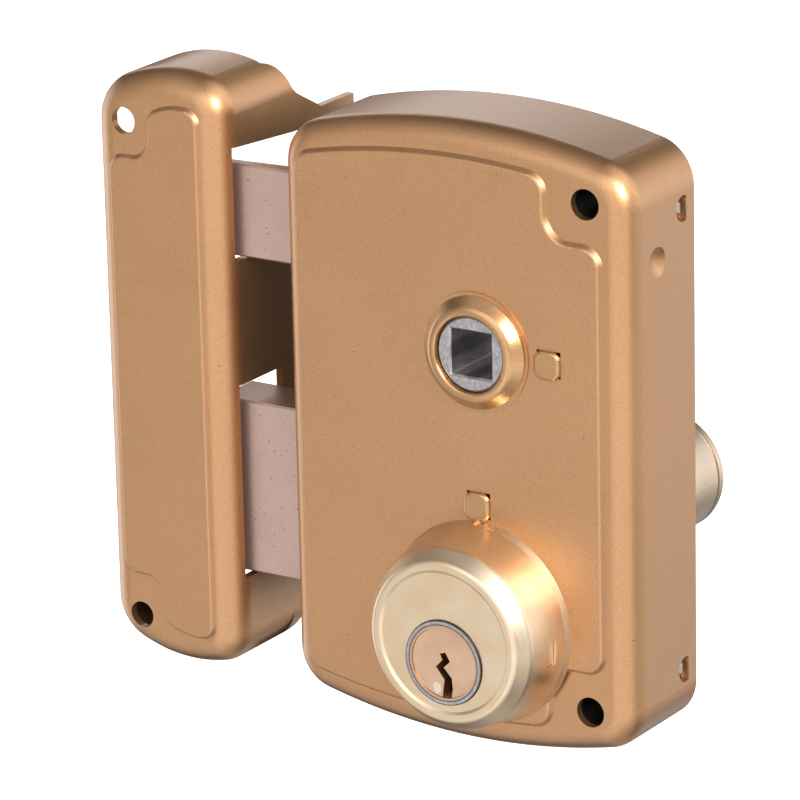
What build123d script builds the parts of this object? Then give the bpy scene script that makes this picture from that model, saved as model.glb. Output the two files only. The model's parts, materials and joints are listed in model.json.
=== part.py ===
from build123d import *
import os
from math import cos, radians, sin

# Rim night latch: surface case with latch and dead bolt, inner and outer cylinders, and keeper.
# Millimetres. X runs along the door towards the hinges, +Y points into the door, +Z is up.
# Origin: centre of the case's back face, which lies on the door (Y = 0). The room is at -Y.

# ---- Case
CASE_HALF_WIDTH = 35.0
CASE_CORNER_Z = 50.4
CASE_APEX_Z = 55.6
CASE_CORNER_R = 8.0
SHEET = 1.5
CASE_PAD_Y = -21.1
PANEL_RISE = 0.9
CASE_PANEL_Y = CASE_PAD_Y - PANEL_RISE
FRONT_ROUNDING = 4.2
PLATE = 2.0
RECESS = 0.3
RECESS_LOW_Z = -36.6
RECESS_HIGH_Z = -10.4
INNER_FRONT_Y = CASE_PAD_Y + SHEET
WALL_CLEAR = 0.3

# ---- Case fixing holes and the two staked posts
SCREW_X = 26.3
SCREW_Z = 45.0
SCREW_HOLE_R = 2.7
PILLAR_R = 3.7
POST_R = 2.15
POST_HEAD_RISE = 0.75
POST_HOLE = 4.7
POST_HEAD = 5.2
POST_HEAD_CORNER_R = 1.75
PANEL_ROOT = 0.25
SPRING_POST_X = 19.4

# ---- Side wall details: half-moon windows with the back plate's lugs in them, and a dimple
WINDOW_PLACES = [(1, 41.2), (1, -41.2), (-1, 10.0), (-1, -39.8)]
WINDOW_Y = -3.7
WINDOW_R = 2.3
DIMPLE_Y = -12.4
DIMPLE_Z = 34.0
DIMPLE_R = 2.7
DIMPLE_DEPTH = 0.9

# ---- Follower: the handle's 8 mm square socket
AXIS_X = 5.0
FOLLOWER_Z = 16.5
SOCKET = 8.0
HUB_R = 6.7
HUB_BORE_R = 6.78
HUB_FLANGE_R = 8.8
COLLAR_R = 10.55
COLLAR_HEIGHT = 2.4
ARM_REACH = 18.0
ARM_NOSE_R = 2.3
ARM_REST_DEG = -30.0

# ---- Bolts
BOLT_FRONT_Y = -12.5
BOLT_BACK_Y = -2.5
HEAD_BACK_X = -24.0
LATCH_TIP_X = -53.0
LATCH_LOW_Z = 23.1
LATCH_HIGH_Z = 40.0
LATCH_TAIL_FRONT_Y = -9.0
LATCH_TAIL_BACK_Y = -6.0
LUG_RIGHT_X = 4.5
ROD_Y = -7.5
ROD_Z = 39.1
ROD_R = 0.9
BRACKET_X = 28.8
DEAD_TIP_X = -55.0
DEAD_LOW_Z = -35.5
DEAD_HIGH_Z = -3.4
DEAD_TRAVEL = 20.0
DEAD_STEP_X = -32.0
DEAD_STEP_Y = -9.0
DEAD_END_X = 12.0
DEAD_TAIL_LOW_Z = -26.3
TALON_BACK_Y = -5.6
TALON_LOW_Z = -18.1
GUIDE_POST_Z = -10.9
CAM_SLOT_HALF = 3.1
BOLT_EDGE = 0.35

# ---- Inner cylinder: brass cup with the key plug below its centre
CUP_Z = -32.05
CUP_BASE_R = 18.2
CUP_RIM_R = 14.3
CUP_FACE_R = 12.45
CUP_DEPTH = 12.2
CUP_FRONT_Y = CASE_PANEL_Y - CUP_DEPTH
PLUG_Z = -35.7
PLUG_R = 6.3
PLUG_COLLAR_R = 7.6
BODY_R = 10.9
BODY_BACK_Y = -13.4
RUNNING = 0.06
CAM_REACH = 14.14
CAM_NOSE_R = 2.2

# ---- Outer cylinder: round body behind the back plate, through the door
OUTER_Z = -23.5
OUTER_R = 11.1
OUTER_GROOVE_R = 10.7
OUTER_GROOVE_WIDTH = 0.6
OUTER_RIM_WIDTH = 1.6
OUTER_LENGTH = 43.0
OUTER_PLUG_Z = -27.5
OUTER_PLUG_R = 6.0

# ---- Pin chambers
PIN_R = 1.2
CHAMBER_R = 1.25
PIN_COUNT = 5

# ---- Keeper on the door frame
KEEPER_RIGHT_X = -49.3
KEEPER_LEFT_X = -77.2
KEEPER_MID_Z = 1.2
KEEPER_APEX_X = -60.0
KEEPER_APEX_Z = 55.0
KEEPER_PAD_Y = -17.8
KEEPER_PANEL_RISE = 0.8
KEEPER_LEFT_CORNER_R = 9.0
KEEPER_RIGHT_CORNER_R = 6.5
KEEPER_ROUNDING = 4.8
KEEPER_HOLE_X = -70.1
KEEPER_HOLE_Z = 46.1
KEEPER_HOLE_MID_Z = 0.3
KEEPER_HOLE_R = 2.45
NOTCH_FRONT_Y = -11.8
NOTCH_LOW_Z = 37.0
NOTCH_HIGH_Z = 46.0
FLANGE_DEPTH = 24.0
FLANGE_HALF = 43.2
FLANGE_HOLE_Y = 15.0
FLANGE_HOLE_Z = 33.0
FLANGE_HOLE_R = 2.3


# ---------------------------------------------------------------- helpers

def slab(section, y_low, y_high):
    """A section drawn as (x, z), thick from y_low to y_high."""
    return Pos(0, y_high, 0) * extrude(Plane.XZ * section, amount=y_high - y_low)


def disc(x, z, radius, y_low, y_high):
    return slab(Pos(x, z) * Circle(radius), y_low, y_high)


def washer(x, z, outer_r, inner_r, y_low, y_high):
    return slab(Pos(x, z) * (Circle(outer_r) - Circle(inner_r)), y_low, y_high)


def block(x_low, x_high, y_low, y_high, z_low, z_high):
    middle = Pos((x_low + x_high) / 2, (y_low + y_high) / 2, (z_low + z_high) / 2)
    return middle * Box(x_high - x_low, y_high - y_low, z_high - z_low)


def turned(x, z, profile):
    """A closed (radius, y) profile turned about the line through (x, z) along Y."""
    face = make_face(Polyline(*profile, close=True))
    return Pos(x, 0, z) * revolve(face, axis=Axis.Y)


def fan(angle_deg, reach, x, z):
    """The (x, z) point at reach from an axis, at an angle clockwise from straight up."""
    return x + reach * sin(radians(angle_deg)), z + reach * cos(radians(angle_deg))


def arched_outline(left, right, corner_z, apex_x, apex_z, corner_r):
    """Upright plate with bowed top and bottom and rounded corners."""
    top = ThreePointArc((left, corner_z), (apex_x, apex_z), (right, corner_z))
    bottom = ThreePointArc((right, -corner_z), (apex_x, -apex_z), (left, -corner_z))
    sides = Line((right, corner_z), (right, -corner_z)) + Line((left, -corner_z), (left, corner_z))
    face = make_face(top + sides + bottom)
    return fillet(face.vertices(), corner_r)


def rounded_inside(section, front_y, radius):
    """Hollow of a pressed shell, open at the back, with its front edge rounded."""
    hollow = slab(section, front_y, 1)
    return fillet(hollow.faces().sort_by(Axis.Y)[0].edges(), radius)


def raised_panel(section, base_y, rise):
    """A low embossed field with a sloped, rounded border, standing out towards the room."""
    root = Pos(0, base_y + PANEL_ROOT, 0)
    field = root * extrude(Plane.XZ * section, amount=rise + PANEL_ROOT, taper=38)
    return fillet(field.faces().sort_by(Axis.Y)[0].edges(), rise * 0.55)


def arm_section(x, z, reach, angle_deg, hub_r, bore_r, nose_r, shank_half):
    """Hub, straight shank and round nose of a cam or lever."""
    tip = fan(angle_deg, reach, x, z)
    middle = fan(angle_deg, reach / 2, x, z)
    shank = Pos(*middle) * Rot(0, 0, -angle_deg) * Rectangle(2 * shank_half, reach)
    return (Pos(x, z) * Circle(hub_r) + shank + Pos(*tip) * Circle(nose_r)) - Pos(x, z) * Circle(bore_r)


def coil(radius, wire_r, length, turns):
    """A compression spring standing on the origin along +Z."""
    path = Helix(pitch=length / turns, height=length, radius=radius)
    wire = Plane(origin=path @ 0, z_dir=path % 0) * Circle(wire_r)
    return sweep(wire, path=path)


def keyway(plug_z, plug_r):
    """The warded slot that the key enters, open at the bottom of the plug."""
    right = [(0.35, 1.9), (1.25, 0.35), (-0.05, -0.85), (1.55, -2.55), (1.75, -4.4), (1.3, -plug_r - 1)]
    left = [(-0.5, -plug_r - 1), (-0.1, -4.3), (0.1, -3.1), (-1.6, -0.95), (-0.3, 0.45), (-0.75, 1.55)]
    return Pos(AXIS_X, plug_z) * make_face(Polyline(*(right + left), close=True))


def chamber_ys(first_y, pitch):
    return [first_y + i * pitch for i in range(PIN_COUNT)]


def upright(y, z_low, z_high, radius):
    """A vertical pin at a given depth, in line with the cylinders."""
    return Pos(AXIS_X, y, (z_low + z_high) / 2) * Cylinder(radius, z_high - z_low)


INNER_PIN_YS = chamber_ys(-30.6, 3.6)
OUTER_PIN_YS = chamber_ys(18.0, 4.2)


# ---------------------------------------------------------------- case

def case_outline():
    return arched_outline(-CASE_HALF_WIDTH, CASE_HALF_WIDTH, CASE_CORNER_Z, 0, CASE_APEX_Z, CASE_CORNER_R)


def case_panel_outline():
    """Field of the case front, notched round both fixing holes."""
    left = -32.0
    notch_left = 19.2
    notch_z = 38.4
    right = 29.9
    corner_z = 47.0
    top_z = 50.7
    notch_top_z = 49.4
    top = ThreePointArc((left, corner_z), (-4.0, top_z), (notch_left, notch_top_z))
    bottom = ThreePointArc((notch_left, -notch_top_z), (-4.0, -top_z), (left, -corner_z))
    notched = Polyline((notch_left, notch_top_z), (notch_left, notch_z), (right, notch_z))
    lower = Polyline((right, -notch_z), (notch_left, -notch_z), (notch_left, -notch_top_z))
    sides = Line((right, notch_z), (right, -notch_z)) + Line((left, -corner_z), (left, corner_z))
    face = make_face(top + notched + sides + lower + bottom)
    return fillet(face.vertices(), 4.2)


def side_window(side, z):
    """Half-moon window in a side wall, flat towards the door."""
    moon = Pos(side * CASE_HALF_WIDTH, WINDOW_Y, z) * Rot(0, 90, 0) * Cylinder(WINDOW_R, 6)
    return moon & block(-50, 50, WINDOW_Y - WINDOW_R, WINDOW_Y + 1.0, z - 5, z + 5)


def case_shell():
    shell = slab(case_outline(), CASE_PAD_Y, 0)
    shell = fillet(shell.faces().sort_by(Axis.Y)[0].edges(), FRONT_ROUNDING)
    shell += raised_panel(case_panel_outline(), CASE_PAD_Y, PANEL_RISE)
    shell -= rounded_inside(offset(case_outline(), amount=-SHEET), INNER_FRONT_Y, FRONT_ROUNDING - SHEET)
    for z in (SCREW_Z, -SCREW_Z):
        shell -= disc(SCREW_X, z, SCREW_HOLE_R, -30, 0)
    shell -= disc(AXIS_X, FOLLOWER_Z, COLLAR_R - 1.8, -30, 0)
    shell -= disc(AXIS_X, CUP_Z, BODY_R + 0.1, -30, 0)
    for x, z in ((SPRING_POST_X, FOLLOWER_Z), (AXIS_X, GUIDE_POST_Z)):
        shell -= slab(Pos(x, z) * Rectangle(POST_HOLE, POST_HOLE), -30, 0)
    for low, high in ((LATCH_LOW_Z, LATCH_HIGH_Z), (DEAD_LOW_Z, DEAD_HIGH_Z)):
        shell -= block(
            -40, -30, BOLT_FRONT_Y - WALL_CLEAR, BOLT_BACK_Y + WALL_CLEAR, low - WALL_CLEAR, high + WALL_CLEAR
        )
    for side, z in WINDOW_PLACES:
        shell -= side_window(side, z)
    ball_r = (DIMPLE_R ** 2 + DIMPLE_DEPTH ** 2) / (2 * DIMPLE_DEPTH)
    ball_x = CASE_HALF_WIDTH - DIMPLE_DEPTH + ball_r
    return shell - Pos(ball_x, DIMPLE_Y, DIMPLE_Z) * Sphere(ball_r)


def back_plate():
    """Steel plate inside the case's rim, with four lugs that spring into the side windows.

    A shallow recess runs across its back at the outer cylinder, which is seated in it.
    """
    inset = SHEET + 0.1
    plate = slab(offset(case_outline(), amount=-inset), -PLATE, 0)
    plate -= block(-50, 50, -RECESS, 1, RECESS_LOW_Z, RECESS_HIGH_Z)
    for z in (SCREW_Z, -SCREW_Z):
        plate -= disc(SCREW_X, z, SCREW_HOLE_R, -5, 1)
    plate -= disc(AXIS_X, FOLLOWER_Z, HUB_BORE_R, -5, 1)
    plate -= disc(AXIS_X, OUTER_PLUG_Z, 5.5, -5, 1)
    for x in (-8.0, 8.0):
        plate -= disc(AXIS_X + x, OUTER_Z + 2.5, 1.6, -5, 1)
    plate -= disc(SPRING_POST_X, FOLLOWER_Z, 1.5, -5, 1)
    plate -= disc(AXIS_X, GUIDE_POST_Z, 1.5, -5, 1)
    wall_x = CASE_HALF_WIDTH - inset
    for side, z in WINDOW_PLACES:
        tab = block(wall_x - 1.2, wall_x, -8.0, -PLATE, z - 2.5, z + 2.5)
        nib = Pos(wall_x - 0.2, WINDOW_Y - 0.2, z) * Sphere(1.4)
        nib &= block(wall_x - 0.3, wall_x + 0.9, WINDOW_Y - 1.9, WINDOW_Y + 0.2, z - 2, z + 2)
        lug = tab + nib
        plate += lug if side > 0 else mirror(lug, about=Plane.YZ)
    return plate


def screw_pillars():
    """Tubes between front and back plate, so that the case's screws can't crush it."""
    return Compound([
        washer(SCREW_X, z, PILLAR_R, SCREW_HOLE_R + 0.1, INNER_FRONT_Y, -PLATE) for z in (SCREW_Z, -SCREW_Z)
    ])


def staked_post(x, z):
    """Round post whose painted head is staked over the case's square hole, riveted in the back plate."""
    section = Pos(x - 0.15, z - 0.2) * RectangleRounded(POST_HEAD, POST_HEAD, POST_HEAD_CORNER_R)
    head = slab(section, CASE_PANEL_Y - POST_HEAD_RISE, CASE_PANEL_Y)
    head = fillet(head.faces().sort_by(Axis.Y)[0].edges(), POST_HEAD_RISE * 0.8)
    post = disc(x, z, POST_R, CASE_PANEL_Y, -PLATE)
    return head + post + disc(x, z, 1.5, -PLATE, -RECESS - 0.05)


# ---------------------------------------------------------------- follower and latch

def follower_collar():
    """Domed ring that carries the follower in the case front."""
    spigot_r = COLLAR_R - 1.85
    top = CASE_PANEL_Y - COLLAR_HEIGHT
    ring = turned(AXIS_X, FOLLOWER_Z, [
        (HUB_BORE_R, top), (COLLAR_R - 2.5, top), (COLLAR_R - 0.6, CASE_PANEL_Y - 0.7),
        (COLLAR_R - 0.6, CASE_PANEL_Y - 0.35), (COLLAR_R, CASE_PANEL_Y - 0.35),
        (COLLAR_R, CASE_PANEL_Y), (spigot_r, CASE_PANEL_Y), (spigot_r, INNER_FRONT_Y),
        (HUB_BORE_R, INNER_FRONT_Y),
    ])
    circles = ring.edges().filter_by(GeomType.CIRCLE).group_by(Axis.Y)
    ring = fillet(circles[0].sort_by(SortBy.RADIUS)[-1], 1.6)
    return fillet(ring.edges().filter_by(GeomType.CIRCLE).group_by(Axis.Y)[0].sort_by(SortBy.RADIUS)[0], 0.4)


def socket_square():
    return Pos(AXIS_X, FOLLOWER_Z) * Rectangle(SOCKET, SOCKET)


def follower_hub():
    """Steel follower: runs in the collar and in the back plate, with the square socket through it."""
    front = CASE_PANEL_Y - COLLAR_HEIGHT + 0.7
    hub = disc(AXIS_X, FOLLOWER_Z, HUB_R, front, -0.2)
    hub = chamfer(hub.edges().sort_by(Axis.Y)[0], 0.4)
    hub += disc(AXIS_X, FOLLOWER_Z, HUB_FLANGE_R, INNER_FRONT_Y + 0.3, LATCH_TAIL_FRONT_Y)
    hub -= slab(socket_square(), -30, 1)
    mouth = hub.faces().sort_by(Axis.Y)[0].inner_wires()[0].edges()
    return chamfer(mouth, 0.35)


def follower_arm():
    section = arm_section(
        AXIS_X, FOLLOWER_Z, ARM_REACH, ARM_REST_DEG, 9.6, HUB_R, ARM_NOSE_R, 1.6
    )
    return slab(section, LATCH_TAIL_FRONT_Y, LATCH_TAIL_BACK_Y)


def follower_spring():
    """Torsion spring that brings the handle back: two turns round the hub, hooked on the post."""
    wire_r = 0.55
    rear_y = -3.0
    turns = Pos(AXIS_X, rear_y, FOLLOWER_Z) * Rot(90, 0, 0) * coil(8.0, wire_r, 2.4, 2)
    over_post = FOLLOWER_Z + POST_R + wire_r + 0.1
    leg = Pos(AXIS_X + 11.6, rear_y, over_post) * Rot(0, 90, 0) * Cylinder(wire_r, 8.8)
    return turns + leg


def latch_bolt():
    """Sprung latch: flat towards the room, hollow-ground ramp towards the door side."""
    ramp = Line((LATCH_TIP_X, -10.5), (-37.5, -9.3))
    heel = ThreePointArc((-37.5, -9.3), (-33.4, -7.2), (-31.0, BOLT_BACK_Y))
    rest = Polyline(
        (-31.0, BOLT_BACK_Y), (HEAD_BACK_X, BOLT_BACK_Y), (HEAD_BACK_X, BOLT_FRONT_Y),
        (LATCH_TIP_X, BOLT_FRONT_Y), (LATCH_TIP_X, -10.5),
    )
    plan = make_face(ramp + heel + rest)
    bolt = Pos(0, 0, LATCH_LOW_Z) * extrude(plan, amount=LATCH_HIGH_Z - LATCH_LOW_Z)
    front = bolt.faces().sort_by(Axis.Y)[0]
    bolt = chamfer(front.edges(), BOLT_EDGE)
    bolt -= latch_tongue()
    for pin in latch_rivet_places():
        bolt -= disc(*pin, 1.3, -9.5, BOLT_BACK_Y)
    return bolt


def latch_tongue():
    return block(HEAD_BACK_X - 6, HEAD_BACK_X, LATCH_TAIL_FRONT_Y, LATCH_TAIL_BACK_Y, 30.0, 40.0)


def latch_rivet_places():
    return [(HEAD_BACK_X - 3, 32.8), (HEAD_BACK_X - 3, 37.2)]


def latch_tail():
    """Tongue, bar and drive lug in one plate; the lug is bored for the spring's guide rod."""
    bar = block(HEAD_BACK_X, LUG_RIGHT_X, LATCH_TAIL_FRONT_Y, LATCH_TAIL_BACK_Y, 37.3, 41.0)
    neck = block(HEAD_BACK_X, -16.0, LATCH_TAIL_FRONT_Y, LATCH_TAIL_BACK_Y, 31.0, 41.0)
    lug = block(-1.4, LUG_RIGHT_X, LATCH_TAIL_FRONT_Y, LATCH_TAIL_BACK_Y, 31.2, 41.0)
    boss = block(-1.4, LUG_RIGHT_X, -10.2, -4.8, 37.3, 41.6)
    tail = latch_tongue() + bar + neck + lug + boss
    tail -= rod_between(LUG_RIGHT_X - 22.0, LUG_RIGHT_X + 1, ROD_R + 0.08)
    for pin in latch_rivet_places():
        tail -= disc(*pin, 1.3, -10, -5)
    return tail


def latch_rivets():
    return Compound([disc(*pin, 1.3, -9.5, BOLT_BACK_Y) for pin in latch_rivet_places()])


def rod_between(x_low, x_high, radius):
    """A round bar on the latch spring's line."""
    middle = Pos((x_low + x_high) / 2, ROD_Y, ROD_Z)
    return middle * Rot(0, 90, 0) * Cylinder(radius, x_high - x_low)


def latch_spring_rod():
    return rod_between(LUG_RIGHT_X - 2.5, BRACKET_X + 1.8, ROD_R)


def latch_spring_bracket():
    """Angle riveted to the back plate; carries the fixed end of rod and spring."""
    wall = block(BRACKET_X, BRACKET_X + 1.8, -11.0, -PLATE, 35.6, 41.0)
    foot = block(BRACKET_X - 4.6, BRACKET_X + 1.8, -PLATE - 1.6, -PLATE, 35.6, 39.0)
    return wall + foot - rod_between(BRACKET_X - 1, BRACKET_X + 3, ROD_R)


def latch_spring():
    wire_r = 0.35
    length = BRACKET_X - LUG_RIGHT_X - 2 * wire_r - 0.3
    turns = coil(1.6, wire_r, length, 6)
    return Pos(LUG_RIGHT_X + wire_r + 0.15, ROD_Y, ROD_Z) * Rot(0, 90, 0) * turns


# ---------------------------------------------------------------- dead bolt

def guide_slot(y_low, y_high):
    """Slot that runs along the guide post over the bolt's whole travel."""
    half = POST_R + 0.3
    end_x = AXIS_X + POST_R + 0.3
    return block(end_x - DEAD_TRAVEL - 2 * half, end_x, y_low, y_high, GUIDE_POST_Z - half, GUIDE_POST_Z + half)


def cam_slot(top_z, y_low, y_high):
    """Talon: upright slot, open below, that a cam's nose works in."""
    middle = AXIS_X - DEAD_TRAVEL / 2
    return block(middle - CAM_SLOT_HALF, middle + CAM_SLOT_HALF, y_low, y_high, -40, top_z)


def dead_bolt_rivet_places():
    return [(-27.0, -7.0), (9.8, -6.2), (-27.0, -15.5)]


def dead_bolt():
    """Solid head; its front half carries on as the tail that the inner cam drives."""
    head = block(DEAD_TIP_X, HEAD_BACK_X, BOLT_FRONT_Y, BOLT_BACK_Y, DEAD_LOW_Z, DEAD_HIGH_Z)
    head = chamfer(head.faces().sort_by(Axis.Y)[0].edges(), BOLT_EDGE)
    head -= block(DEAD_STEP_X, 0, DEAD_STEP_Y, 0, -40, 0)
    tail = block(HEAD_BACK_X, DEAD_END_X, BOLT_FRONT_Y, DEAD_STEP_Y, DEAD_TAIL_LOW_Z, -4.2)
    tail -= cam_slot(PLUG_Z + CAM_REACH + CAM_NOSE_R + 0.4, -15, 0)
    tail -= guide_slot(-15, 0)
    bolt = head + tail
    for place in dead_bolt_rivet_places():
        bolt -= disc(*place, 1.4, BOLT_FRONT_Y + 0.6, 0)
    return bolt


def talon_plate():
    """Plate riveted behind the tail, with the slot for the outer cylinder's cam."""
    plate = block(DEAD_STEP_X, DEAD_END_X, DEAD_STEP_Y, TALON_BACK_Y, TALON_LOW_Z, -4.2)
    plate -= cam_slot(GUIDE_POST_Z, -15, 0)
    plate -= guide_slot(-15, 0)
    for place in dead_bolt_rivet_places():
        plate -= disc(*place, 1.4, -15, 0)
    return plate


def dead_bolt_rivets():
    return Compound([
        disc(*place, 1.4, BOLT_FRONT_Y + 0.6, TALON_BACK_Y) for place in dead_bolt_rivet_places()
    ])


def detent_spring():
    """Bow spring above the dead bolt's tail, held by a foot on the back plate."""
    leaf = block(-20.0, 8.0, -11.8, -8.0, DEAD_HIGH_Z + 0.5, DEAD_HIGH_Z + 1.1)
    riser = block(6.8, 8.0, -11.8, -PLATE, DEAD_HIGH_Z + 0.5, 1.5)
    foot = block(6.8, 12.5, -PLATE - 0.8, -PLATE, -2.6, 1.5)
    return leaf + riser + foot


# ---------------------------------------------------------------- inner cylinder

def cylinder_cup():
    """Brass cup round the inner cylinder: tapering side, rounded rim, slightly sunk face."""
    wall = 1.5
    face_y = CUP_FRONT_Y + 0.35
    outer = turned(AXIS_X, CUP_Z, [
        (0, face_y), (CUP_FACE_R, face_y), (CUP_FACE_R + 0.5, CUP_FRONT_Y), (CUP_RIM_R, CUP_FRONT_Y),
        (16.3, CUP_FRONT_Y + 2.6), (CUP_BASE_R - 0.5, CASE_PANEL_Y - 1.2), (CUP_BASE_R, CASE_PANEL_Y),
        (0, CASE_PANEL_Y),
    ])
    circles = outer.edges().filter_by(GeomType.CIRCLE).group_by(Axis.Y)
    outer = fillet(circles[0].sort_by(SortBy.RADIUS)[-1], 1.1)
    shoulder = outer.edges().filter_by(GeomType.CIRCLE).filter_by(lambda e: abs(e.radius - 16.3) < 0.01)
    outer = fillet(shoulder, 2.0)
    hollow = turned(AXIS_X, CUP_Z, [
        (0, face_y + wall), (CUP_RIM_R - 1.6, face_y + wall), (CUP_BASE_R - 2.0, CASE_PANEL_Y + 1),
        (0, CASE_PANEL_Y + 1),
    ])
    cup = outer - hollow
    cup -= disc(AXIS_X, PLUG_Z, PLUG_COLLAR_R + 0.1, -40, -30)
    cup -= cup_slot(0.0)
    cup -= Pos(AXIS_X, CASE_PANEL_Y, CUP_Z + CUP_BASE_R) * Rot(90, 0, 0) * Cylinder(0.8, 3)
    return cup


def cup_slot(inset):
    """Slot in the cup's side for the clip that holds it on the cylinder."""
    y_mid = CASE_PANEL_Y - 4.4
    return block(
        AXIS_X + 12, AXIS_X + 20, y_mid - 1.1 + inset, y_mid + 1.1 - inset, -35.6 + inset, -31.2 - inset
    )


def cup_clip():
    """Steel clip whose end shows in the cup's side slot."""
    end = block(AXIS_X + 14.4, AXIS_X + 16.6, CASE_PANEL_Y - 5.4, CASE_PANEL_Y - 3.4, -35.5, -31.3)
    arm = block(AXIS_X + BODY_R, AXIS_X + 15.0, CASE_PANEL_Y - 4.9, CASE_PANEL_Y - 3.9, -35.5, -31.3)
    return end + arm


def inner_cylinder_body():
    """Brass body with the plug's bore and a row of pin chambers above it."""
    body = disc(AXIS_X, CUP_Z, BODY_R, CUP_FRONT_Y + 2.0, BODY_BACK_Y)
    body -= disc(AXIS_X, PLUG_Z, PLUG_R + RUNNING, -40, 0)
    body -= disc(AXIS_X, PLUG_Z, PLUG_COLLAR_R, -40, CUP_FRONT_Y + 4.0)
    for y in INNER_PIN_YS[1:]:
        body -= upright(y, PLUG_Z, CUP_Z + BODY_R + 1, CHAMBER_R)
    slot = block(AXIS_X - 1.6, AXIS_X + 1.6, INNER_PIN_YS[1] - 2, INNER_PIN_YS[-1] + 2, CUP_Z + BODY_R - 1.2, 0)
    return body - slot


def inner_chamber_cover():
    """Brass strip that closes the pin chambers."""
    return block(
        AXIS_X - 1.6, AXIS_X + 1.6, INNER_PIN_YS[1] - 2, INNER_PIN_YS[-1] + 2, CUP_Z + BODY_R - 1.2,
        CUP_Z + BODY_R - 0.2,
    )


def inner_plug_collar():
    """Grey steel ring round the plug's face."""
    return washer(AXIS_X, PLUG_Z, PLUG_COLLAR_R, PLUG_R + RUNNING, CUP_FRONT_Y, CUP_FRONT_Y + 4.0)


def cylinder_ring_nut():
    """Ring nut behind the case front that holds the inner cylinder."""
    nut = washer(AXIS_X, CUP_Z, 14.2, BODY_R, INNER_FRONT_Y, INNER_FRONT_Y + 3.0)
    for side in (-1, 1):
        nut -= block(AXIS_X + side * 13.6 - 1.5, AXIS_X + side * 13.6 + 1.5, -25, -10, CUP_Z - 1.2, CUP_Z + 1.2)
    return nut


def inner_plug():
    """Key plug: face flush with the cup, journal at the back for the cam."""
    plug = disc(AXIS_X, PLUG_Z, PLUG_R, CUP_FRONT_Y + 0.25, BODY_BACK_Y)
    plug += disc(AXIS_X, PLUG_Z, 3.0, BODY_BACK_Y, -9.3)
    plug -= slab(keyway(PLUG_Z, PLUG_R), -40, BODY_BACK_Y - 2.0)
    for y in INNER_PIN_YS[1:]:
        plug -= upright(y, PLUG_Z + 1.0, PLUG_Z + PLUG_R + 1, CHAMBER_R)
    return plug


def key_pins(ys, plug_z, top):
    """Pins of uneven length, lifted to the shear line as with the key in."""
    lengths = [3.4, 4.2, 3.0, 3.9, 3.5]
    return Compound([
        upright(y, plug_z + top - lengths[i], plug_z + top, PIN_R) for i, y in enumerate(ys)
    ])


def driver_pins(ys, low_z):
    return Compound([upright(y, low_z, low_z + 3.2, PIN_R) for y in ys])


def pin_springs(ys, low_z, high_z):
    spring = coil(0.9, 0.17, high_z - low_z - 0.4, 4)
    return Compound([Pos(AXIS_X, y, low_z + 0.2) * spring for y in ys])


def inner_cam():
    """Cam of the inner cylinder; its nose stands in the dead bolt's talon."""
    section = arm_section(AXIS_X, PLUG_Z, CAM_REACH, -45.0, 6.2, 3.0, CAM_NOSE_R, 1.5)
    return slab(section, -12.3, -10.4)


def inner_cam_clip():
    """Snap ring on the plug's journal."""
    ring = Circle(4.4) - Circle(3.0) - Pos(0, -3.5) * Rectangle(3.6, 4)
    return slab(Pos(AXIS_X, PLUG_Z) * ring, -10.4, -9.7)


# ---------------------------------------------------------------- outer cylinder

def outer_screw_places():
    return [(AXIS_X - 8.0, OUTER_Z + 2.5), (AXIS_X + 8.0, OUTER_Z + 2.5)]


def outer_cylinder_body():
    """Round brass body with a rim set off by a groove at the street end."""
    body = disc(AXIS_X, OUTER_Z, OUTER_R, -RECESS, OUTER_LENGTH)
    body = fillet(body.edges().sort_by(Axis.Y)[-1], 0.35)
    rim_y = OUTER_LENGTH - OUTER_RIM_WIDTH
    body -= washer(AXIS_X, OUTER_Z, OUTER_R + 1, OUTER_GROOVE_R, rim_y - OUTER_GROOVE_WIDTH, rim_y)
    body -= disc(AXIS_X, OUTER_PLUG_Z, OUTER_PLUG_R + RUNNING, -1, OUTER_LENGTH + 1)
    for y in OUTER_PIN_YS:
        body -= upright(y, OUTER_PLUG_Z, OUTER_Z + OUTER_R + 1, CHAMBER_R)
    body -= outer_strip(0.0)
    for place in outer_screw_places():
        body -= disc(*place, 1.5, -1, 9.0)
    return body


def outer_strip(top_gap):
    top = OUTER_Z + OUTER_R
    return block(
        AXIS_X - 1.6, AXIS_X + 1.6, OUTER_PIN_YS[0] - 2.5, OUTER_PIN_YS[-1] + 2.5, top - 1.2,
        top - top_gap + (0 if top_gap else 2),
    )


def outer_plug():
    plug = disc(AXIS_X, OUTER_PLUG_Z, OUTER_PLUG_R, 2.0, OUTER_LENGTH - 0.2)
    plug -= slab(keyway(OUTER_PLUG_Z, OUTER_PLUG_R), 14.0, OUTER_LENGTH + 1)
    for y in OUTER_PIN_YS:
        plug -= upright(y, OUTER_PLUG_Z + 1.0, OUTER_PLUG_Z + OUTER_PLUG_R + 1, CHAMBER_R)
    return plug - tailpiece_bar()


def tailpiece_bar():
    """Flat bar that carries the outer plug's turn through the door to its cam."""
    return block(AXIS_X - 3.5, AXIS_X + 3.5, -8.6, 6.0, OUTER_PLUG_Z - 0.9, OUTER_PLUG_Z + 0.9)


def outer_cam():
    """Cam of the outer cylinder, parked nose down; its hub turns in the back plate."""
    section = arm_section(AXIS_X, OUTER_PLUG_Z, CAM_REACH, 180.0, 5.4, 1.0, CAM_NOSE_R, 1.5)
    cam = slab(section, -8.7, -6.0)
    cam += disc(AXIS_X, OUTER_PLUG_Z, 6.6, -6.0, -PLATE - 0.3)
    cam += disc(AXIS_X, OUTER_PLUG_Z, 5.44, -PLATE - 0.3, -RECESS - 0.1)
    cam -= block(AXIS_X - 3.5, AXIS_X + 3.5, -9, 1, OUTER_PLUG_Z - 0.9, OUTER_PLUG_Z + 0.9)
    return cam


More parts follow.
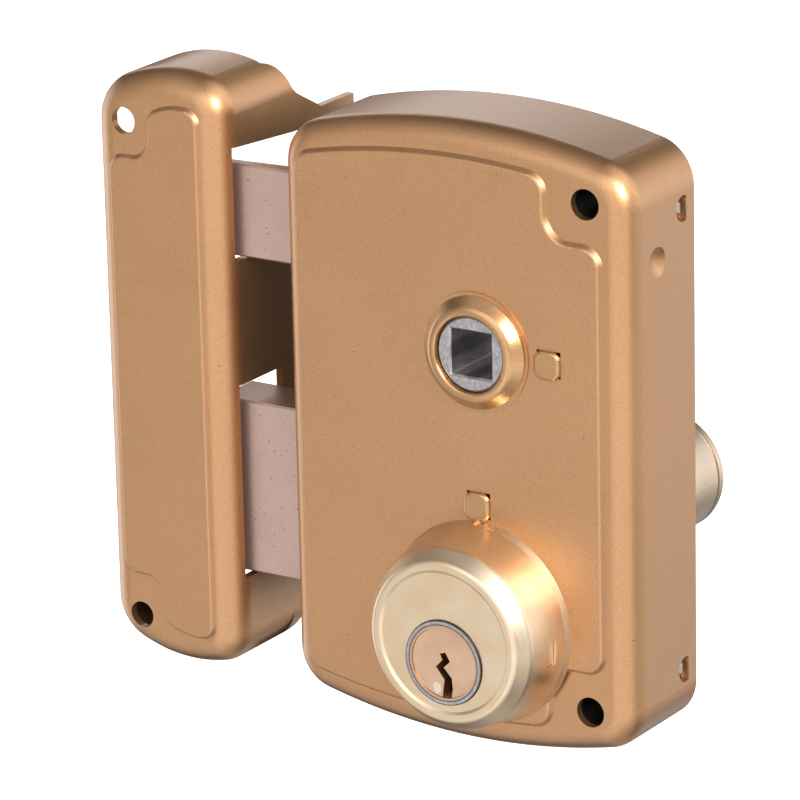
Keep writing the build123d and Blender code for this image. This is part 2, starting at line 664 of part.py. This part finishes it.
def outer_cylinder_screws():
    """Slotted screws through the back plate into the outer cylinder."""
    screws = []
    for x, z in outer_screw_places():
        screw = disc(x, z, 2.7, -PLATE - 1.5, -PLATE) + disc(x, z, 1.5, -PLATE, 9.0)
        screw -= block(x - 3, x + 3, -PLATE - 1.6, -PLATE - 0.8, z - 0.4, z + 0.4)
        screws.append(screw)
    return Compound(screws)


# ---------------------------------------------------------------- keeper

def keeper_outline():
    top = ThreePointArc(
        (KEEPER_LEFT_X, 49.6), (KEEPER_APEX_X, KEEPER_APEX_Z), (KEEPER_RIGHT_X, 52.4)
    )
    bottom = mirror(top, about=Plane.XZ)
    left = Line((KEEPER_LEFT_X, 49.6), (KEEPER_LEFT_X, -49.6))
    right = Line((KEEPER_RIGHT_X, 52.4), (KEEPER_RIGHT_X, -52.4))
    face = make_face(top + bottom + left + right)
    face = fillet(face.vertices().group_by(Axis.X)[0], KEEPER_LEFT_CORNER_R)
    return fillet(face.vertices().group_by(Axis.X)[-1], KEEPER_RIGHT_CORNER_R)


def keeper_panel_outline():
    """Field of the keeper's front, notched round both fixing holes."""
    left = -73.6
    right = -53.5
    notch_x = -65.2
    notch_z = 39.4
    top = ThreePointArc((notch_x, 47.2), (-59.5, 49.4), (right, 48.8))
    bottom = mirror(top, about=Plane.XZ)
    upper = Polyline((left, notch_z), (notch_x, notch_z), (notch_x, 47.2))
    lower = mirror(upper, about=Plane.XZ)
    sides = Line((left, notch_z), (left, -notch_z)) + Line((right, 48.8), (right, -48.8))
    face = make_face(top + bottom + upper + lower + sides)
    return fillet(face.vertices(), 3.3)


def keeper_wall():
    """Ring-shaped section of the keeper's sheet-metal walls."""
    return keeper_outline() - offset(keeper_outline(), amount=-SHEET)


def keeper_flange():
    """The wall beside the door carries on back along the frame; its edge sweeps in from the rounded corners."""
    sweep_edge = Spline(
        (0, 53.5), (2.0, 52.9), (3.5, 50.8), (4.9, 48.2), (7.2, 46.6), (10.2, 45.0), (13.4, FLANGE_HALF)
    )
    end = Polyline((13.4, FLANGE_HALF), (FLANGE_DEPTH, FLANGE_HALF), (FLANGE_DEPTH, 0), (0, 0), (0, 53.5))
    half = make_face(sweep_edge + end)
    side_view = Plane(origin=(KEEPER_RIGHT_X - 7, 0, 0), x_dir=(0, 1, 0), z_dir=(1, 0, 0))
    upper = extrude(side_view * half, amount=8)
    return slab(keeper_wall(), 0, FLANGE_DEPTH) & (upper + mirror(upper, about=Plane.XY))


def keeper_notches():
    """Two notches in the rear edge of the wall away from the door, beside the fixing holes."""
    upper = block(KEEPER_LEFT_X - 2, KEEPER_LEFT_X + 4.2, NOTCH_FRONT_Y, 1, NOTCH_LOW_Z, NOTCH_HIGH_Z)
    return upper + mirror(upper, about=Plane.XY)


def keeper_shell():
    """Drawn keeper, open towards the frame, with windows for latch and dead bolt."""
    shell = slab(keeper_outline(), KEEPER_PAD_Y, 0)
    shell = fillet(shell.faces().sort_by(Axis.Y)[0].edges(), KEEPER_ROUNDING)
    shell += raised_panel(keeper_panel_outline(), KEEPER_PAD_Y, KEEPER_PANEL_RISE)
    inside = offset(keeper_outline(), amount=-SHEET)
    shell -= rounded_inside(inside, KEEPER_PAD_Y + SHEET, KEEPER_ROUNDING - SHEET)
    shell += keeper_flange()
    shell -= keeper_notches()
    for z in (FLANGE_HOLE_Z, -FLANGE_HOLE_Z):
        shell -= Pos(KEEPER_RIGHT_X, FLANGE_HOLE_Y, z) * Rot(0, 90, 0) * Cylinder(FLANGE_HOLE_R, 8)
    shell = Pos(0, 0, KEEPER_MID_Z) * shell
    for z in (KEEPER_HOLE_Z, -KEEPER_HOLE_Z):
        shell -= disc(KEEPER_HOLE_X, KEEPER_HOLE_MID_Z + z, KEEPER_HOLE_R, -30, 0)
    latch_window = make_face(Polyline(
        (-14.3, 22.6), (-14.3, 43.2), (4.0, 41.8), (9.0, 41.6), (9.0, 22.6), close=True
    ))
    wall = Plane(origin=(KEEPER_RIGHT_X - 5, 0, 0), x_dir=(0, 1, 0), z_dir=(1, 0, 0))
    shell -= extrude(wall * latch_window, amount=8)
    shell -= block(KEEPER_RIGHT_X - 5, KEEPER_RIGHT_X + 3, -14.3, -0.9, -36.3, -0.2)
    return shell


# ---------------------------------------------------------------- output

DRIVER_LOW_INNER = PLUG_Z + PLUG_R + 0.12
DRIVER_LOW_OUTER = OUTER_PLUG_Z + OUTER_PLUG_R + 0.12

PARTS = {
    "case_shell": case_shell(),
    "back_plate": back_plate(),
    "screw_pillars": screw_pillars(),
    "spring_post": staked_post(SPRING_POST_X, FOLLOWER_Z),
    "bolt_guide_post": staked_post(AXIS_X, GUIDE_POST_Z),
    "follower_collar": follower_collar(),
    "follower_hub": follower_hub(),
    "follower_arm": follower_arm(),
    "follower_spring": follower_spring(),
    "latch_bolt": latch_bolt(),
    "latch_tail": latch_tail(),
    "latch_rivets": latch_rivets(),
    "latch_spring": latch_spring(),
    "latch_spring_rod": latch_spring_rod(),
    "latch_spring_bracket": latch_spring_bracket(),
    "dead_bolt": dead_bolt(),
    "talon_plate": talon_plate(),
    "dead_bolt_rivets": dead_bolt_rivets(),
    "detent_spring": detent_spring(),
    "cylinder_cup": cylinder_cup(),
    "cup_clip": cup_clip(),
    "cylinder_ring_nut": cylinder_ring_nut(),
    "inner_cylinder_body": inner_cylinder_body(),
    "inner_chamber_cover": inner_chamber_cover(),
    "inner_plug_collar": inner_plug_collar(),
    "inner_plug": inner_plug(),
    "inner_key_pins": key_pins(INNER_PIN_YS[1:], PLUG_Z, PLUG_R - 0.16),
    "inner_driver_pins": driver_pins(INNER_PIN_YS[1:], DRIVER_LOW_INNER),
    "inner_pin_springs": pin_springs(INNER_PIN_YS[1:], DRIVER_LOW_INNER + 3.2, CUP_Z + BODY_R - 1.2),
    "inner_cam": inner_cam(),
    "inner_cam_clip": inner_cam_clip(),
    "outer_cylinder_body": outer_cylinder_body(),
    "outer_chamber_cover": outer_strip(0.25),
    "outer_plug": outer_plug(),
    "outer_key_pins": key_pins(OUTER_PIN_YS, OUTER_PLUG_Z, OUTER_PLUG_R - 0.16),
    "outer_driver_pins": driver_pins(OUTER_PIN_YS, DRIVER_LOW_OUTER),
    "outer_pin_springs": pin_springs(OUTER_PIN_YS, DRIVER_LOW_OUTER + 3.2, OUTER_Z + OUTER_R - 1.2),
    "outer_tailpiece": tailpiece_bar(),
    "outer_cam": outer_cam(),
    "outer_cylinder_screws": outer_cylinder_screws(),
    "keeper_shell": keeper_shell(),
}

os.makedirs("parts", exist_ok=True)
for node, solid in PARTS.items():
    export_step(solid, f"parts/{node}.step")
print(len(PARTS), "nodes")
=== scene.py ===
import json
from math import cos, radians, sin

import bpy
from mathutils import Matrix, Vector


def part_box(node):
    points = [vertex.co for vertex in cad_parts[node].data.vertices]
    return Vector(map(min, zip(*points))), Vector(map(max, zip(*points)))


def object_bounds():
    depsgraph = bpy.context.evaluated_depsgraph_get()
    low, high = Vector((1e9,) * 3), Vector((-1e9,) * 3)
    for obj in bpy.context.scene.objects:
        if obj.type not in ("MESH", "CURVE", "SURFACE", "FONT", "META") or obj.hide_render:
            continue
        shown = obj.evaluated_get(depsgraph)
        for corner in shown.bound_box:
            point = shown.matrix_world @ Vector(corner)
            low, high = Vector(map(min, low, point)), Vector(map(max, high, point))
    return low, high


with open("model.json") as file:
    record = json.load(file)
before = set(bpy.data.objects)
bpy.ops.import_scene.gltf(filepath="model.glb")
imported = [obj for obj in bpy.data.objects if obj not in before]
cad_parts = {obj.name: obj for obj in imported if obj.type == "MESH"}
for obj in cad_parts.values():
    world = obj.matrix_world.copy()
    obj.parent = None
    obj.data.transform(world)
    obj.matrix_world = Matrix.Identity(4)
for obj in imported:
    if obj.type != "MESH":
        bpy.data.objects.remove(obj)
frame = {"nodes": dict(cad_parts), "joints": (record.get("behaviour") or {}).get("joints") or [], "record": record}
cad_low, cad_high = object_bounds()

MM = 0.001

# ---- Camera: a long lens, to the right of the lock and a little above it
CAMERA_PLACE = (0.463675, -0.742311, 0.284715)
CAMERA_AZIMUTH = 33.36
CAMERA_ELEVATION = 17.94
CAMERA_ROLL = -1.309
CAMERA_LENS_MM = 238.27

# ---- Stage
FLOOR_DROP = 0.30
FLOOR_REACH = 6.0
FLOOR_GLOW = 0.85

# ---- Two black cards that keep light out of the gap and of the keeper's lower hole
CARD_FACE_Y = 0.5 * MM
EDGE_CARD_DEPTH = 40 * MM
EDGE_CARD_Z = (-48 * MM, 45 * MM)
FRAME_CARD_Z = (-60 * MM, -20 * MM)

# ---- Softboxes face this point
LIT_POINT = Vector((-0.01, -0.01, 0))

# ---- Centres of the turned pieces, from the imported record's joints
JOINTS = {joint["name"]: joint for joint in frame["joints"]}
FOLLOWER_AXIS = Vector(JOINTS["follower_turn"]["pos_m"])
PLUG_AXIS = Vector(JOINTS["inner_key_turn"]["pos_m"])
SOCKET_HALF = 4.0 * MM
RING_LINE_R = 6.85 * MM
RING_EDGE_R = 7.55 * MM


def middle(node):
    low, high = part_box(node)
    return (low + high) / 2


CUP_AXIS = middle("cylinder_cup")
OUTER_AXIS = middle("outer_cylinder_body")


# ---------------------------------------------------------------- camera, floor and lights

def camera_turn():
    """Rotation of a camera at this azimuth and elevation, then rolled about its own line of sight."""
    azimuth = radians(CAMERA_AZIMUTH)
    elevation = radians(CAMERA_ELEVATION)
    forward = Vector((-sin(azimuth) * cos(elevation), cos(azimuth) * cos(elevation), -sin(elevation)))
    level_right = Vector((cos(azimuth), sin(azimuth), 0))
    level_up = level_right.cross(forward)
    roll = radians(CAMERA_ROLL)
    right = level_right * cos(roll) + level_up * sin(roll)
    up = level_up * cos(roll) - level_right * sin(roll)
    return Matrix((right, up, -forward)).transposed()


def make_camera():
    data = bpy.data.cameras.new("camera")
    data.sensor_width = 36
    data.lens = CAMERA_LENS_MM
    data.clip_start = 0.05
    data.clip_end = 50
    camera = bpy.data.objects.new("camera", data)
    camera.matrix_world = Matrix.Translation(CAMERA_PLACE) @ camera_turn().to_4x4()
    bpy.context.scene.collection.objects.link(camera)
    bpy.context.scene.camera = camera


def make_floor():
    """A pale floor well below the lock; the surroundings light the lock, so the floor itself doesn't."""
    low_z = cad_low.z - FLOOR_DROP
    corners = [
        (x * FLOOR_REACH, y * FLOOR_REACH, low_z) for x, y in ((-1, -1), (1, -1), (1, 1), (-1, 1))
    ]
    mesh = bpy.data.meshes.new("floor")
    mesh.from_pydata(corners, [], [(0, 1, 2, 3)])
    floor = bpy.data.objects.new("floor", mesh)
    bpy.context.scene.collection.objects.link(floor)
    floor.visible_diffuse = False
    floor.visible_glossy = False
    material = bpy.data.materials.new("floor")
    material.use_nodes = True
    shader = material.node_tree.nodes["Principled BSDF"]
    shader.inputs["Base Color"].default_value = (0.92, 0.92, 0.92, 1)
    shader.inputs["Roughness"].default_value = 0.9
    shader.inputs["Specular IOR Level"].default_value = 0.0
    shader.inputs["Emission Color"].default_value = (1, 1, 1, 1)
    shader.inputs["Emission Strength"].default_value = FLOOR_GLOW
    mesh.materials.append(material)


def black_card(name, corners):
    """A black card that keeps light out of a hollow and doesn't show itself."""
    mesh = bpy.data.meshes.new(name)
    mesh.from_pydata(corners, [], [(0, 1, 2, 3)])
    card = bpy.data.objects.new(name, mesh)
    bpy.context.scene.collection.objects.link(card)
    card.visible_camera = False
    material = bpy.data.materials.new(name)
    material.use_nodes = True
    shader = material.node_tree.nodes["Principled BSDF"]
    shader.inputs["Base Color"].default_value = (0.01, 0.01, 0.01, 1)
    shader.inputs["Roughness"].default_value = 1.0
    mesh.materials.append(material)


def make_cards():
    """Cards stand where the door's edge and the door frame would keep the light out."""
    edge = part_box("case_shell")[0].x
    low, high = EDGE_CARD_Z
    black_card("door_edge", [
        (edge, CARD_FACE_Y, low), (edge, EDGE_CARD_DEPTH, low),
        (edge, EDGE_CARD_DEPTH, high), (edge, CARD_FACE_Y, high),
    ])
    left, right = (end.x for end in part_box("keeper_shell"))
    low, high = FRAME_CARD_Z
    black_card("door_frame", [
        (left, CARD_FACE_Y, low), (right, CARD_FACE_Y, low),
        (right, CARD_FACE_Y, high), (left, CARD_FACE_Y, high),
    ])


def soft_light(name, direction, distance, size, power):
    """A rectangular softbox that faces the lock from a direction."""
    data = bpy.data.lights.new(name, "AREA")
    data.shape = "RECTANGLE"
    data.size, data.size_y = size
    data.energy = power
    light = bpy.data.objects.new(name, data)
    towards = Vector(direction).normalized()
    light.location = LIT_POINT + towards * distance
    light.rotation_mode = "QUATERNION"
    light.rotation_quaternion = towards.to_track_quat("Z", "Y")
    bpy.context.scene.collection.objects.link(light)


def make_lights():
    """A key at the upper right, in front, and a fill behind the keeper."""
    soft_light("key", (0.68, -0.55, 0.50), 0.9, (0.42, 0.42), 6.5)
    soft_light("back_left", (-0.50, 0.80, 0.32), 1.3, (0.9, 0.5), 1.45)


# The studio's bright areas: azimuth in degrees from the back round to the right, elevation, radiance.
# The radiances are fitted values, so that each face of the lock takes its own brightness.
STUDIO = (
    (222, 70, 0.13),
    (85, 65, 0.89),
    (32, 52, 0.16),
    (255, 49, 0.21),
    (117, 45, 0.23),
    (340, 42, 0.05),
    (202, 39, 0.57),
    (65, 37, 1.05),
    (150, 31, 0.96),
    (182, 19, 1.11),
    (45, 17, 0.38),
    (215, 8, 0.18),
    (77, 6, 0.7),
    (25, -1, 0.75),
    (247, -3, 0.4),
    (110, -6, 0.30),
    (195, -10, 0.5),
    (57, -12, 0.50),
    (278, -8, 1.1),
    (142, -17, 0.71),
    (175, -29, 0.72),
    (260, -34, 0.5),
    (122, -37, 0.6),
    (345, -39, 0.26),
    (207, -42, 0.6),
    (17, -56, 0.32),
    (187, -79, 0.5),
)
AREA_RADIUS = 36


def make_world():
    """Studio surroundings: dark, with soft bright areas that run into each other."""
    world = bpy.data.worlds.new("studio")
    bpy.context.scene.world = world
    world.use_nodes = True
    tree = world.node_tree
    place = tree.nodes.new("ShaderNodeTexCoord")
    total = None
    for azimuth, elevation, radiance in STUDIO:
        around = radians(azimuth)
        above = radians(elevation)
        facing = tree.nodes.new("ShaderNodeVectorMath")
        facing.operation = "DOT_PRODUCT"
        facing.inputs[1].default_value = (sin(around) * cos(above), cos(around) * cos(above), sin(above))
        tree.links.new(place.outputs["Generated"], facing.inputs[0])
        spread = tree.nodes.new("ShaderNodeMapRange")
        spread.interpolation_type = "SMOOTHSTEP"
        spread.inputs["From Min"].default_value = cos(radians(AREA_RADIUS))
        spread.inputs["From Max"].default_value = 1.0
        spread.inputs["To Max"].default_value = radiance
        tree.links.new(facing.outputs["Value"], spread.inputs["Value"])
        joined = tree.nodes.new("ShaderNodeMath")
        joined.operation = "ADD"
        joined.inputs[1].default_value = 0.0
        tree.links.new(spread.outputs["Result"], joined.inputs[0])
        if total is not None:
            tree.links.new(total, joined.inputs[1])
        total = joined.outputs[0]
    tree.links.new(total, tree.nodes["Background"].inputs["Strength"])
    tree.nodes["Background"].inputs["Color"].default_value = (1, 1, 1, 1)


# ---------------------------------------------------------------- material building blocks

class Finish:
    """One procedural material: a Principled shader and short ways to add textures to it."""

    def __init__(self, name, **sockets):
        self.material = bpy.data.materials.new(name)
        self.material.use_nodes = True
        self.tree = self.material.node_tree
        self.shader = self.tree.nodes["Principled BSDF"]
        self.place = self.tree.nodes.new("ShaderNodeTexCoord").outputs["Object"]
        for socket, value in sockets.items():
            self.shader.inputs[socket.replace("_", " ")].default_value = value

    def node(self, kind, **values):
        made = self.tree.nodes.new(kind)
        for name, value in values.items():
            setattr(made, name, value)
        return made

    def link(self, source, target):
        self.tree.links.new(source, target)

    def set(self, socket, source):
        self.link(source, self.shader.inputs[socket])

    def stretched(self, scale, centre=(0, 0, 0)):
        """Object coordinates measured from centre and multiplied per axis."""
        moved = self.node("ShaderNodeVectorMath", operation="SUBTRACT")
        moved.inputs[1].default_value = centre
        self.link(self.place, moved.inputs[0])
        scaled = self.node("ShaderNodeVectorMath", operation="MULTIPLY")
        scaled.inputs[1].default_value = scale
        self.link(moved.outputs[0], scaled.inputs[0])
        return scaled.outputs[0]

    def noise(self, size_mm, detail=2.0, roughness=0.5, vector=None):
        made = self.node("ShaderNodeTexNoise")
        made.inputs["Scale"].default_value = 1 / (size_mm * MM)
        made.inputs["Detail"].default_value = detail
        made.inputs["Roughness"].default_value = roughness
        self.link(vector or self.place, made.inputs["Vector"])
        return made.outputs["Fac"]

    def cells(self, size_mm):
        """Distance to the nearest of a scatter of points about size_mm apart."""
        made = self.node("ShaderNodeTexVoronoi")
        made.inputs["Scale"].default_value = 1 / (size_mm * MM)
        self.link(self.place, made.inputs["Vector"])
        return made.outputs["Distance"]

    def remap(self, source, low_in, high_in, low_out, high_out):
        """Maps one range of values onto another and holds the ends."""
        made = self.node("ShaderNodeMapRange")
        for socket, value in zip(
            ("From Min", "From Max", "To Min", "To Max"), (low_in, high_in, low_out, high_out)
        ):
            made.inputs[socket].default_value = value
        self.link(source, made.inputs["Value"])
        return made.outputs["Result"]

    def math(self, operation, first, second=0.0):
        made = self.node("ShaderNodeMath", operation=operation)
        for socket, value in zip(made.inputs, (first, second)):
            if isinstance(value, (int, float)):
                socket.default_value = value
            else:
                self.link(value, socket)
        return made.outputs[0]

    def mix(self, amount, first, second):
        """Blends two colours; each argument is a value or a socket."""
        made = self.node("ShaderNodeMix", data_type="RGBA")
        for name, value in (("Factor_Float", amount), ("A_Color", first), ("B_Color", second)):
            socket = next(s for s in made.inputs if s.identifier == name)
            if isinstance(value, (int, float)):
                socket.default_value = value
            elif isinstance(value, tuple):
                socket.default_value = (*value, 1)
            else:
                self.link(value, socket)
        return next(s for s in made.outputs if s.identifier == "Result_Color")

    def bump(self, height, depth_mm):
        """Adds relief; calls pile up, each on top of the last."""
        made = self.node("ShaderNodeBump")
        made.inputs["Distance"].default_value = depth_mm * MM
        made.inputs["Strength"].default_value = 1.0
        self.link(height, made.inputs["Height"])
        before = self.shader.inputs["Normal"].links
        if before:
            self.link(before[0].from_socket, made.inputs["Normal"])
        self.set("Normal", made.outputs["Normal"])

    def distance_from(self, point, scale):
        """Distance from a point, with each axis scaled; a zero leaves that axis out."""
        length = self.node("ShaderNodeVectorMath", operation="LENGTH")
        self.link(self.stretched(scale, point), length.inputs[0])
        return length.outputs["Value"]

    def rings(self, axis, spacing_mm, wobble=0.6):
        """Turning marks: noise that depends only on the distance from an axis along Y."""
        joined = self.node("ShaderNodeCombineXYZ")
        self.link(self.distance_from(axis, (1, 0, 1)), joined.inputs[0])
        drift = self.math("MULTIPLY", self.noise(9), wobble * MM)
        self.link(drift, joined.inputs[1])
        return self.noise(spacing_mm, 3.0, 0.6, joined.outputs[0])


# ---------------------------------------------------------------- the finishes

def gold_paint():
    """Satin metallic paint: fine flake, faint cloudiness, orange peel, and a few specks of dust."""
    made = Finish("gold_paint", Metallic=0.93, IOR=1.5, Coat_Weight=1.0, Coat_Roughness=0.24)
    clouds = made.remap(made.noise(28, 3), 0.3, 0.7, 0, 1)
    body = made.mix(clouds, (0.540, 0.262, 0.100), (0.580, 0.286, 0.116))
    flake = made.remap(made.noise(0.16, 1), 0.3, 0.72, 0, 1)
    sparkling = made.mix(made.math("MULTIPLY", flake, 0.35), body, (0.80, 0.52, 0.30))
    grit = made.remap(made.noise(0.45, 2), 0.35, 0.65, 0.0, 0.16)
    toned = made.mix(grit, sparkling, (0.34, 0.18, 0.08))
    dust = made.remap(made.cells(6.5), 0.016, 0.030, 0.75, 0)
    made.set("Base Color", made.mix(dust, toned, (0.10, 0.05, 0.03)))
    rough = made.math("ADD", made.remap(clouds, 0, 1, 0.36, 0.42), made.math("MULTIPLY", flake, 0.06))
    made.set("Roughness", rough)
    made.bump(made.noise(0.9, 2), 0.010)
    made.bump(flake, 0.004)
    made.bump(dust, 0.05)
    return made


def gold_lacquer():
    """Glossier, lighter gold lacquer of the turned collar and the staked heads."""
    made = Finish("gold_lacquer", Metallic=0.97, Coat_Weight=0.6, Coat_Roughness=0.12)
    clouds = made.remap(made.noise(5, 3), 0.3, 0.7, 0, 1)
    body = made.mix(clouds, (0.60, 0.335, 0.150), (0.68, 0.395, 0.190))
    grit = made.remap(made.noise(0.30, 2), 0.35, 0.65, 0.0, 0.22)
    made.set("Base Color", made.mix(grit, body, (0.40, 0.21, 0.08)))
    made.set("Roughness", made.remap(clouds, 0, 1, 0.24, 0.31))
    made.bump(made.noise(0.6, 2), 0.008)
    return made


def cast_metal(name, light, dark, grain_mm, depth_mm, roughness):
    """Grainy, tumbled casting with scattered pits."""
    made = Finish(name, Metallic=0.85, IOR=1.5)
    grain = made.noise(grain_mm, 3, 0.7)
    tone = made.remap(grain, 0.32, 0.68, 0, 1)
    large = made.remap(made.noise(9, 2), 0.35, 0.65, 0, 0.35)
    colour = made.mix(tone, dark, light)
    colour = made.mix(large, colour, dark)
    pits = made.remap(made.cells(1.7), 0.05, 0.11, 0.8, 0)
    made.set("Base Color", made.mix(pits, colour, (0.06, 0.05, 0.05)))
    made.set("Roughness", made.remap(grain, 0.3, 0.7, roughness + 0.08, roughness - 0.05))
    made.bump(grain, depth_mm)
    made.bump(made.math("SUBTRACT", 1.0, pits), 0.05)
    return made


def bolt_steel():
    return cast_metal("bolt_steel", (0.72, 0.53, 0.455), (0.54, 0.38, 0.32), 0.17, 0.028, 0.42)


def grey_steel():
    """Machined steel, darkened in use, with bright scuffs."""
    made = Finish("grey_steel", Metallic=0.95)
    grain = made.noise(0.22, 3, 0.7)
    scuffs = made.remap(made.noise(1.3, 4, 0.7), 0.45, 0.62, 0, 1)
    body = made.mix(grain, (0.26, 0.24, 0.245), (0.42, 0.38, 0.38))
    made.set("Base Color", made.mix(made.math("MULTIPLY", scuffs, 0.6), body, (0.74, 0.70, 0.70)))
    made.set("Roughness", made.remap(scuffs, 0, 1, 0.42, 0.26))
    made.bump(grain, 0.02)
    made.bump(scuffs, 0.02)
    return made


def hub_steel():
    """Worn bare steel of the hub and the plug's ring: fine speckle, with painted edges.

    The socket's walls are darker, which is painted shade, and one of its corners carries a bright painted
    highlight. Two dark lines run round the key plug, with a band of brass inside them.
    """
    made = Finish("hub_steel", Metallic=0.9)
    speckle = made.noise(0.20, 4, 0.8)
    streaks = made.noise(0.22, 3, 0.7, made.stretched((1, 0.25, 1.6)))
    body = made.mix(made.remap(speckle, 0.35, 0.65, 0, 1), (0.27, 0.25, 0.26), (0.76, 0.71, 0.72))
    worn = made.remap(made.noise(0.9, 4, 0.75), 0.50, 0.64, 0, 0.65)
    body = made.mix(worn, body, (0.86, 0.82, 0.82))
    inside = made.distance_from(FOLLOWER_AXIS, (1, 0, 1))
    dark = made.remap(streaks, 0.35, 0.65, 0.35, 0.9)
    # painted shade: within 4.1 mm of the follower axis the socket's walls are darkened
    shaded = made.mix(made.remap(inside, 4.1 * MM, 4.5 * MM, 1.0, 0.0), body, (0.24, 0.225, 0.235))
    # painted highlight: a bright line along the socket's corner where its left and bottom walls meet
    corner = FOLLOWER_AXIS + Vector((-SOCKET_HALF, 0, -SOCKET_HALF))
    edge = made.distance_from(corner, (1, 0, 1))
    highlight_and_streaks = made.mix(made.remap(edge, 0.10 * MM, 0.42 * MM, 0.95, 0), shaded, (0.85, 0.82, 0.80))
    highlight_and_streaks = made.mix(made.math("MULTIPLY", dark, 0.3), highlight_and_streaks, (0.10, 0.09, 0.09))
    out = made.distance_from(PLUG_AXIS, (1, 0, 1))
    brass = made.mix(speckle, (0.58, 0.38, 0.25), (0.74, 0.50, 0.34))
    ringed = made.mix(made.remap(out, RING_LINE_R, RING_LINE_R + 0.05 * MM, 1, 0), highlight_and_streaks, brass)
    for radius in (RING_LINE_R, RING_EDGE_R):
        line = made.math("ABSOLUTE", made.math("SUBTRACT", out, radius))
        ringed = made.mix(made.remap(line, 0.05 * MM, 0.16 * MM, 0.85, 0), ringed, (0.05, 0.035, 0.03))
    made.set("Base Color", ringed)
    made.set("Roughness", made.remap(speckle, 0.3, 0.7, 0.46, 0.30))
    made.bump(speckle, 0.014)
    made.bump(streaks, 0.014)
    return made


def zinc_plate():
    """Zinc-plated sheet: cloudy, faintly brushed along X."""
    made = Finish("zinc_plate", Metallic=0.95)
    brushed = made.noise(0.25, 3, 0.6, made.stretched((0.06, 1, 1)))
    clouds = made.noise(6, 3)
    body = made.mix(clouds, (0.50, 0.50, 0.50), (0.66, 0.66, 0.64))
    made.set("Base Color", made.mix(made.math("MULTIPLY", brushed, 0.4), body, (0.36, 0.36, 0.37)))
    made.set("Roughness", made.remap(clouds, 0.3, 0.7, 0.28, 0.42))
    made.bump(brushed, 0.008)
    return made


def black_steel():
    """Dark steel, nearly black, with a fine grain: the near-black colour is painted shade for the dark insides of
    the screw holes.
    """
    made = Finish("black_steel", Metallic=0.8)
    grain = made.noise(0.25, 3, 0.7)
    # painted shade: the near-black colour darkens the screw pillars inside their holes
    made.set("Base Color", made.mix(grain, (0.012, 0.010, 0.009), (0.045, 0.038, 0.034)))
    made.set("Roughness", made.remap(grain, 0.3, 0.7, 0.34, 0.50))
    made.bump(grain, 0.02)
    return made


def spring_steel():
    """Spring wire: bright, with a fine dark grain."""
    made = Finish("spring_steel", Metallic=1.0)
    grain = made.noise(0.12, 2)
    made.set("Base Color", made.mix(grain, (0.26, 0.27, 0.29), (0.55, 0.56, 0.58)))
    made.set("Roughness", made.remap(grain, 0.3, 0.7, 0.22, 0.36))
    made.bump(grain, 0.006)
    return made


def turned_brass(name, axis, light, dark, roughness, ring_mm=0.18, ring_depth=0.003):
    """Brass with turning marks round an axis, slight tarnish and fine scratches."""
    made = Finish(name, Metallic=1.0)
    rings = made.rings(axis, ring_mm)
    tarnish = made.remap(made.noise(7, 3), 0.35, 0.7, 0, 1)
    body = made.mix(tarnish, light, dark)
    made.set("Base Color", made.mix(made.remap(rings, 0.35, 0.65, 0.18, 0), body, dark))
    made.set("Roughness", made.remap(rings, 0.3, 0.7, roughness + 0.05, roughness - 0.04))
    made.bump(rings, ring_depth)
    made.bump(made.noise(0.35, 2), 0.003)
    return made


def cup_brass():
    return turned_brass("cup_brass", CUP_AXIS, (0.88, 0.71, 0.52), (0.82, 0.62, 0.40), 0.36)


def plug_brass():
    """Turned brass of the inner key plug, with a pale painted glint beside the keyway."""
    made = turned_brass(
        "plug_brass", PLUG_AXIS, (0.87, 0.585, 0.40), (0.70, 0.44, 0.28), 0.30, ring_mm=0.12, ring_depth=0.008
    )
    colour = made.shader.inputs["Base Color"].links[0].from_socket
    # painted glint: a pale reflection painted onto the plug's face beside the keyway
    glint = made.distance_from(PLUG_AXIS + Vector((-1.4, 0, -4.7)) * MM, (1, 0, 0.8))
    ragged = made.math("ADD", glint, made.math("MULTIPLY", made.noise(1.1, 3), 0.9 * MM))
    painted_glint = made.remap(ragged, 1.15 * MM, 1.35 * MM, 0.9, 0)
    made.set("Base Color", made.mix(painted_glint, colour, (0.98, 0.86, 0.66)))
    return made


def pin_brass():
    return turned_brass("pin_brass", PLUG_AXIS, (0.72, 0.55, 0.26), (0.55, 0.40, 0.18), 0.28)


def pale_brass():
    return turned_brass("pale_brass", OUTER_AXIS, (0.76, 0.63, 0.50), (0.68, 0.53, 0.40), 0.34)


FINISHES = (
    gold_paint, gold_lacquer, black_steel, hub_steel, zinc_plate, grey_steel, bolt_steel, spring_steel,
    cup_brass, plug_brass, pin_brass, pale_brass,
)


def paint_nodes():
    """Each CAD node takes the material of its slot in the record."""
    materials = {finish.__name__: finish().material for finish in FINISHES}
    for row in frame["record"]["subparts"]:
        piece = frame["nodes"][row["node"]]
        piece.data.materials.clear()
        piece.data.materials.append(materials[row["material_slot"]])


make_camera()
make_floor()
make_cards()
make_lights()
make_world()
paint_nodes()
bpy.context.scene.view_settings.view_transform = "Standard"
